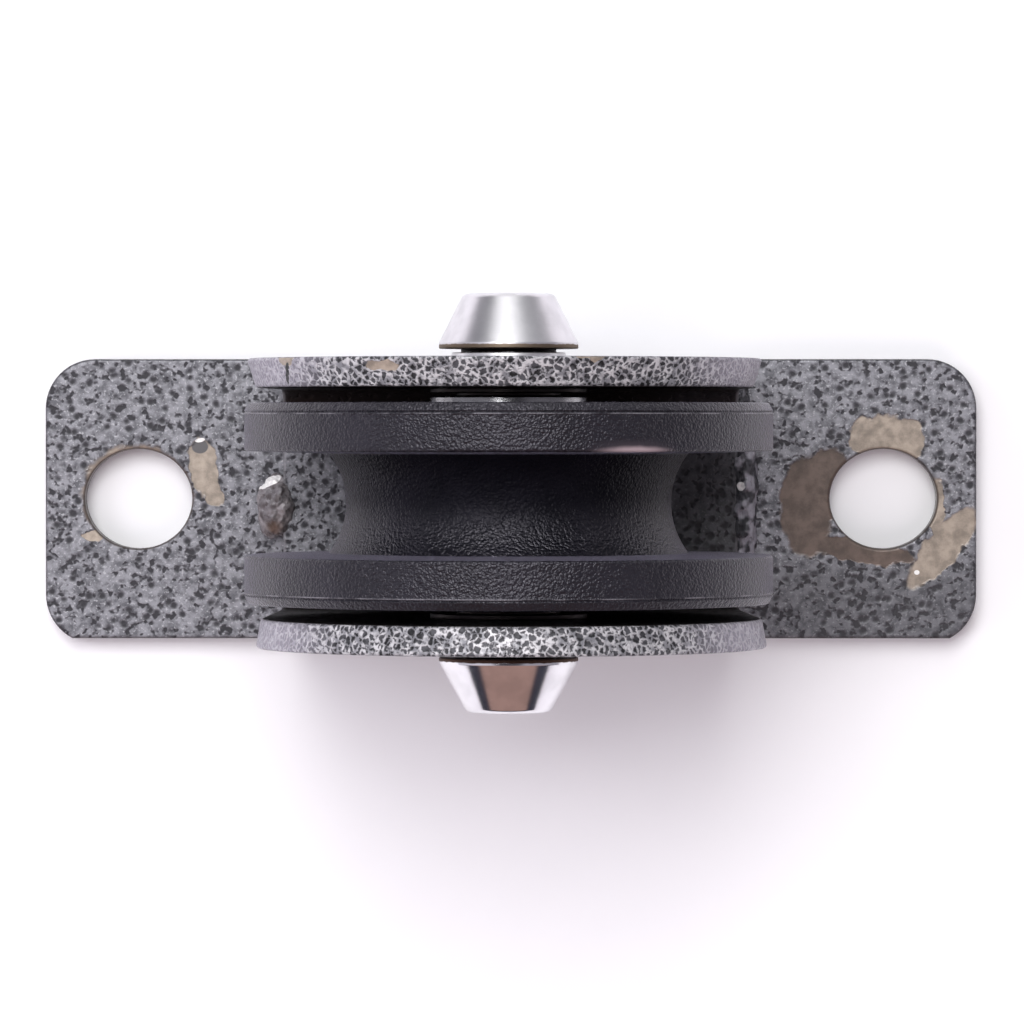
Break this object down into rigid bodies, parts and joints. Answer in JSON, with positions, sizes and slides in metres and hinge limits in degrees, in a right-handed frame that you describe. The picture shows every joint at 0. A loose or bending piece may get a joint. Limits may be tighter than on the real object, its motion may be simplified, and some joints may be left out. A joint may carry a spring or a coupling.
{
  "type": "shoulder pulley",
  "caption": "Rope pulley: a grooved nylon sheave on ball bearings in a U-shaped bracket welded to a flat base plate with two fixing holes.",
  "frame": {"origin": "bottom centre of the base plate, on its back face", "axes": "+X along the plate, +Y along the axle towards the rear cone, +Z from the plate towards the sheave"},
  "size_m": [0.1, 0.0426, 0.063],
  "materials": {
    "hammer_paint": "silver and black hammertone",
    "weld_paint": "painted weld, lumpy",
    "black_nylon": "fine moulded grain",
    "bright_steel": "bright turned",
    "dark_washer": "black oxide",
    "zinc_washer": "zinc plated",
    "bearing_steel": "ground",
    "shield_steel": "pressed sheet",
    "cage_nylon": "natural nylon",
    "ball_steel": "polished"
  },
  "bodies": {
    "bracket": {"base_plate": "hammer_paint", "u_bracket": "hammer_paint", "weld_bead_left": "weld_paint", "weld_bead_right": "weld_paint", "axle_sleeve_nut": "bright_steel", "axle_screw": "bright_steel", "bearing_spacer_tube": "zinc_washer", "head_washer_front": "dark_washer", "cheek_washer_front": "zinc_washer", "bearing_shim_front": "zinc_washer", "bearing_inner_ring_front": "bearing_steel", "head_washer_rear": "dark_washer", "cheek_washer_rear": "zinc_washer", "bearing_shim_rear": "zinc_washer", "bearing_inner_ring_rear": "bearing_steel"},
    "sheave": {"sheave": "black_nylon", "bearing_outer_ring_front": "bearing_steel", "bearing_shield_outer_front": "shield_steel", "bearing_shield_inner_front": "shield_steel", "bearing_outer_ring_rear": "bearing_steel", "bearing_shield_outer_rear": "shield_steel", "bearing_shield_inner_rear": "shield_steel"},
    "cage_front": {"bearing_cage_front": "cage_nylon", "bearing_balls_front": "ball_steel"},
    "cage_rear": {"bearing_cage_rear": "cage_nylon", "bearing_balls_rear": "ball_steel"}
  },
  "joints": [
    {"name": "sheave_spin", "type": "hinge", "parent": "bracket", "child": "sheave", "pos_m": [0, 0, 0.036], "axis": [0, 1, 0], "continuous": true},
    {"name": "cage_spin_front", "type": "hinge", "parent": "bracket", "child": "cage_front", "pos_m": [0, 0, 0.036], "axis": [0, 1, 0], "continuous": true},
    {"name": "cage_spin_rear", "type": "hinge", "parent": "bracket", "child": "cage_rear", "pos_m": [0, 0, 0.036], "axis": [0, 1, 0], "continuous": true}
  ],
  "couplings": [
    {"joint": "cage_spin_front", "follows": "sheave_spin", "ratio": 0.5833},
    {"joint": "cage_spin_rear", "follows": "sheave_spin", "ratio": 0.5833}
  ]
}
